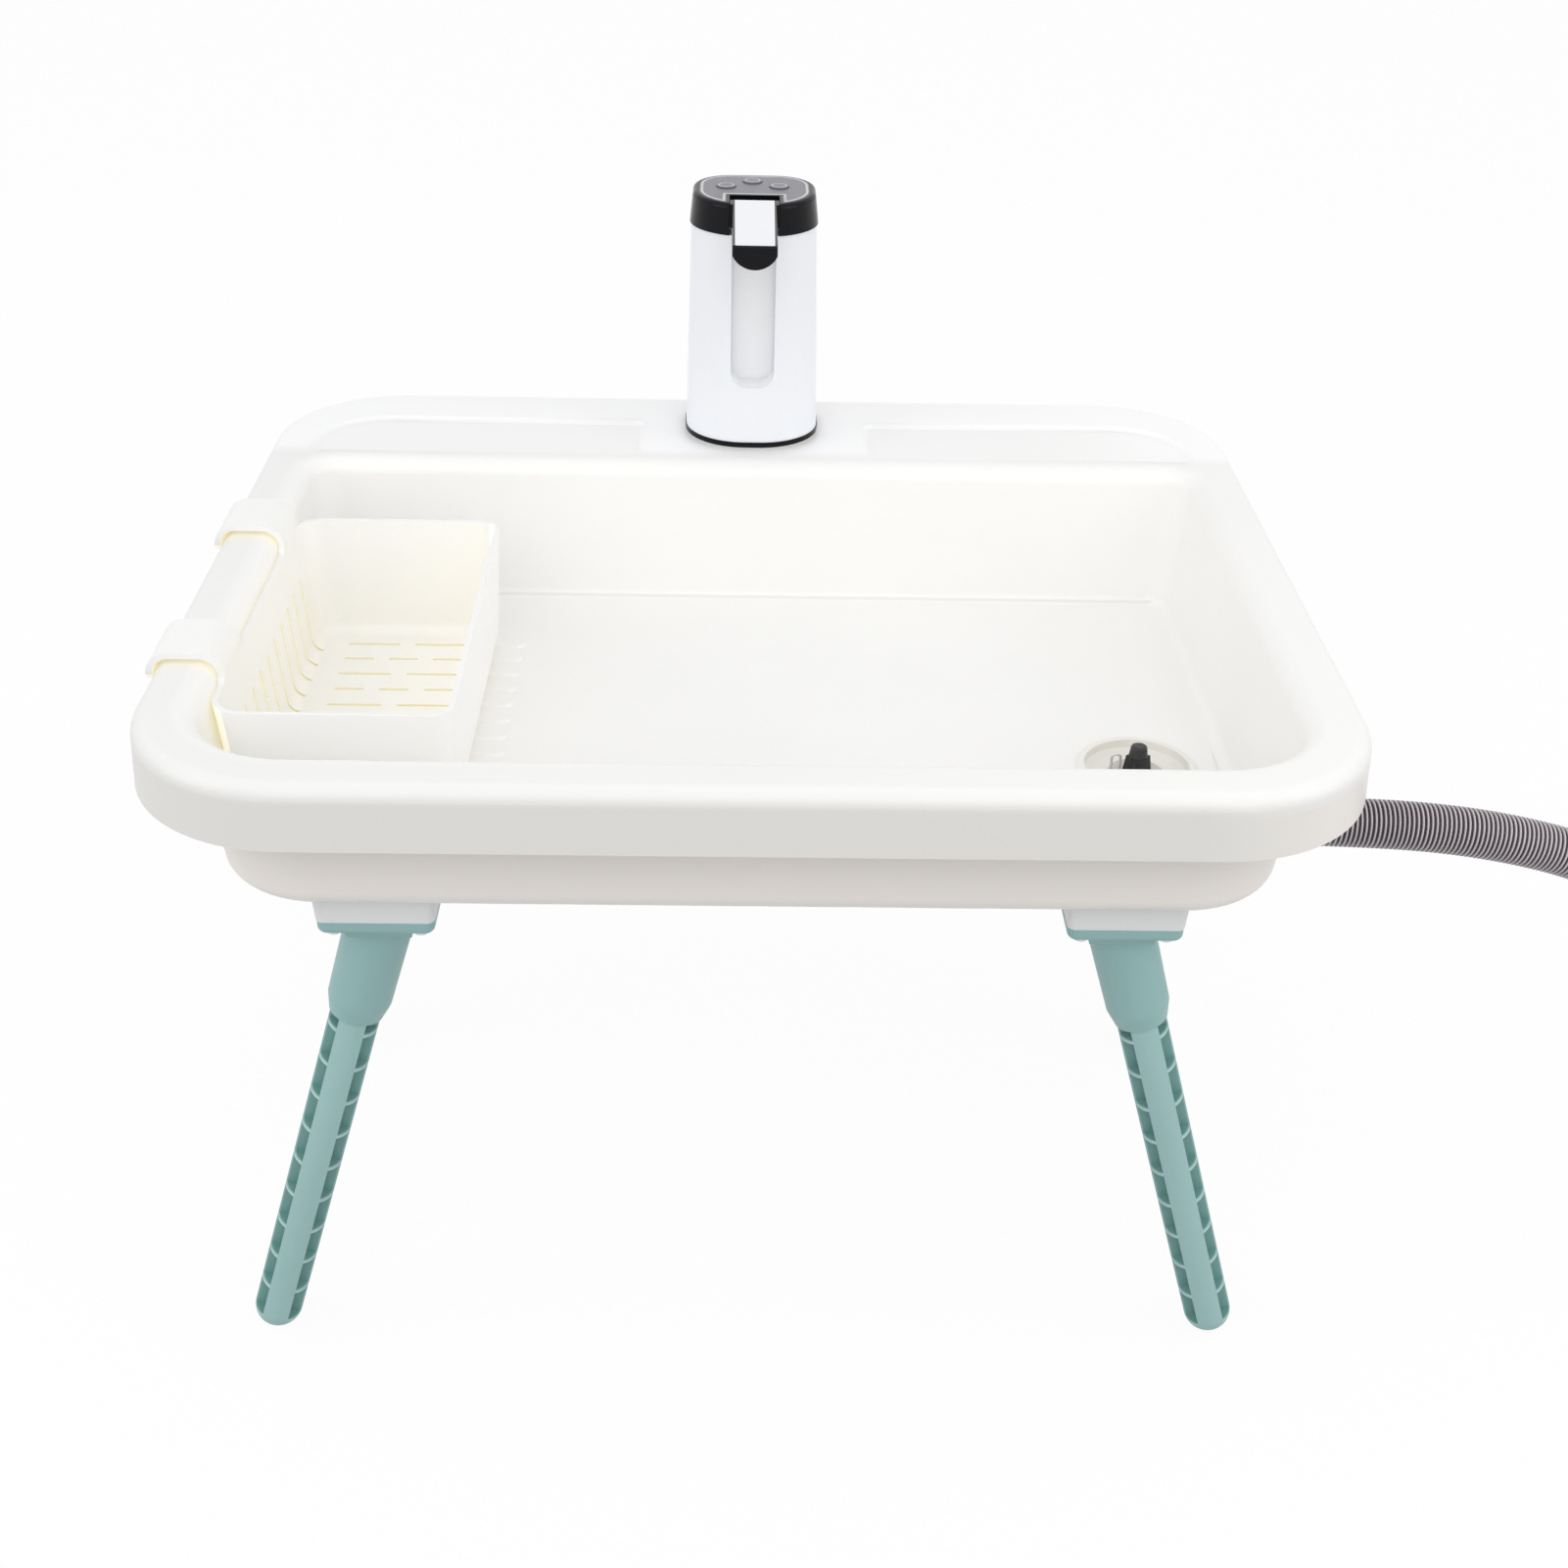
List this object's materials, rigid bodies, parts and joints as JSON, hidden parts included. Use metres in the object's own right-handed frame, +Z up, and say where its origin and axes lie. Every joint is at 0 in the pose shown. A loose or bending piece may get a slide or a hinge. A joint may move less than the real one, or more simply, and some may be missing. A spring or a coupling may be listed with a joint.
{
  "type": "camping sink",
  "caption": "White moulded wash basin on splayed pull-out legs, with a battery pump tap whose spout folds, a hook-on draining basket, a drain stopper and a ribbed waste hose.",
  "frame": {"origin": "on the floor under the middle of the basin's rim", "axes": "+X to the user's right along the basin's width, +Y to the back deck with the tap, +Z up"},
  "size_m": [1.1932, 0.485, 0.5205],
  "materials": {
    "white_shell": "fine satin moulded plastic, warm white",
    "leg_pads": "satin moulded plastic, slightly cool white",
    "leg_sockets": "satin moulded plastic, slightly cool white",
    "teal_legs": "moulded green-teal plastic, fine texture",
    "screws": "zinc plated steel",
    "basket_white": "satin moulded plastic, creamy white",
    "drain_grey": "smooth moulded plastic, warm grey",
    "seal_black": "soft black rubber",
    "dark_plastic": "dark moulded plastic",
    "stopper_disc": "smooth moulded plastic, grey",
    "steel": "plain stainless steel",
    "tap_white": "glossy moulded plastic, cool white",
    "tap_black": "glossy moulded plastic, near black",
    "panel_grey": "satin film, mid grey",
    "circuit_board": "green circuit board",
    "inner_plastic": "plain moulded plastic",
    "pump_motor": "steel can on a plastic pump",
    "battery_wrap": "shrink wrapped cell",
    "clear_tube": "translucent silicone tube",
    "hose_grey": "ribbed soft plastic, grey",
    "cuff_grey": "smooth soft plastic, grey"
  },
  "bodies": {
    "sink": {"basin": "white_shell", "drain_body": "drain_grey", "drain_gasket": "seal_black", "drain_nut": "dark_plastic", "drain_elbow": "dark_plastic", "hose_clamp": "steel", "drain_hose": "hose_grey", "hose_coil": "hose_grey", "hose_end_cuff": "cuff_grey", "leg_screws": "screws", "leg_pad_front_left": "leg_pads", "leg_socket_front_left": "leg_sockets", "leg_pad_front_right": "leg_pads", "leg_socket_front_right": "leg_sockets", "leg_pad_back_left": "leg_pads", "leg_socket_back_left": "leg_sockets", "leg_pad_back_right": "leg_pads", "leg_socket_back_right": "leg_sockets"},
    "leg_front_left": {"leg_front_left": "teal_legs"},
    "leg_front_right": {"leg_front_right": "teal_legs"},
    "leg_back_left": {"leg_back_left": "teal_legs"},
    "leg_back_right": {"leg_back_right": "teal_legs"},
    "basket": {"basket": "basket_white"},
    "stopper": {"stopper_disc": "stopper_disc", "stopper_seal": "seal_black", "stopper_hub": "dark_plastic", "stopper_knob": "dark_plastic", "pull_loop": "steel"},
    "tap": {"tap_body": "tap_white", "tap_lid": "tap_black", "control_panel": "panel_grey", "circuit_board": "circuit_board", "tap_base_ring": "tap_black", "tap_gasket": "inner_plastic", "inlet_nipple": "inner_plastic", "pump_motor": "pump_motor", "battery": "battery_wrap", "riser_tube": "clear_tube", "charging_port": "steel", "spout_pin": "dark_plastic"},
    "spout": {"spout_arm": "tap_black", "spout_cover": "tap_white", "spout_nozzle": "tap_black", "spout_tube": "clear_tube"},
    "left_button": {"button_left": "panel_grey"},
    "middle_button": {"button_middle": "panel_grey"},
    "right_button": {"button_right": "panel_grey"}
  },
  "joints": [
    {"name": "leg_front_left_pull", "type": "slide", "parent": "sink", "child": "leg_front_left", "axis": [-0.2798, 0, -0.96], "range_m": [0, 0.055]},
    {"name": "leg_front_right_pull", "type": "slide", "parent": "sink", "child": "leg_front_right", "axis": [0.2798, 0, -0.96], "range_m": [0, 0.055]},
    {"name": "leg_back_left_pull", "type": "slide", "parent": "sink", "child": "leg_back_left", "axis": [-0.2798, 0, -0.96], "range_m": [0, 0.055]},
    {"name": "leg_back_right_pull", "type": "slide", "parent": "sink", "child": "leg_back_right", "axis": [0.2798, 0, -0.96], "range_m": [0, 0.055]},
    {"name": "basket_lift", "type": "slide", "parent": "sink", "child": "basket", "axis": [0, 0, 1], "range_m": [0, 0.12]},
    {"name": "stopper_lift", "type": "slide", "parent": "sink", "child": "stopper", "axis": [0, 0, 1], "range_m": [0, 0.04]},
    {"name": "tap_lift", "type": "slide", "parent": "sink", "child": "tap", "axis": [0, 0, 1], "range_m": [0, 0.05]},
    {"name": "spout_fold", "type": "hinge", "parent": "tap", "child": "spout", "pos_m": [-0.0015, 0.164, 0.5135], "axis": [1, 0, 0], "range_deg": [0, 90]},
    {"name": "button_left_press", "type": "slide", "parent": "tap", "child": "left_button", "axis": [0, 0, -1], "range_m": [0, 0.0008], "stiffness_N_per_m": 900, "springref_m": -0.0006},
    {"name": "button_middle_press", "type": "slide", "parent": "tap", "child": "middle_button", "axis": [0, 0, -1], "range_m": [0, 0.0008], "stiffness_N_per_m": 900, "springref_m": -0.0006},
    {"name": "button_right_press", "type": "slide", "parent": "tap", "child": "right_button", "axis": [0, 0, -1], "range_m": [0, 0.0008], "stiffness_N_per_m": 900, "springref_m": -0.0006}
  ]
}
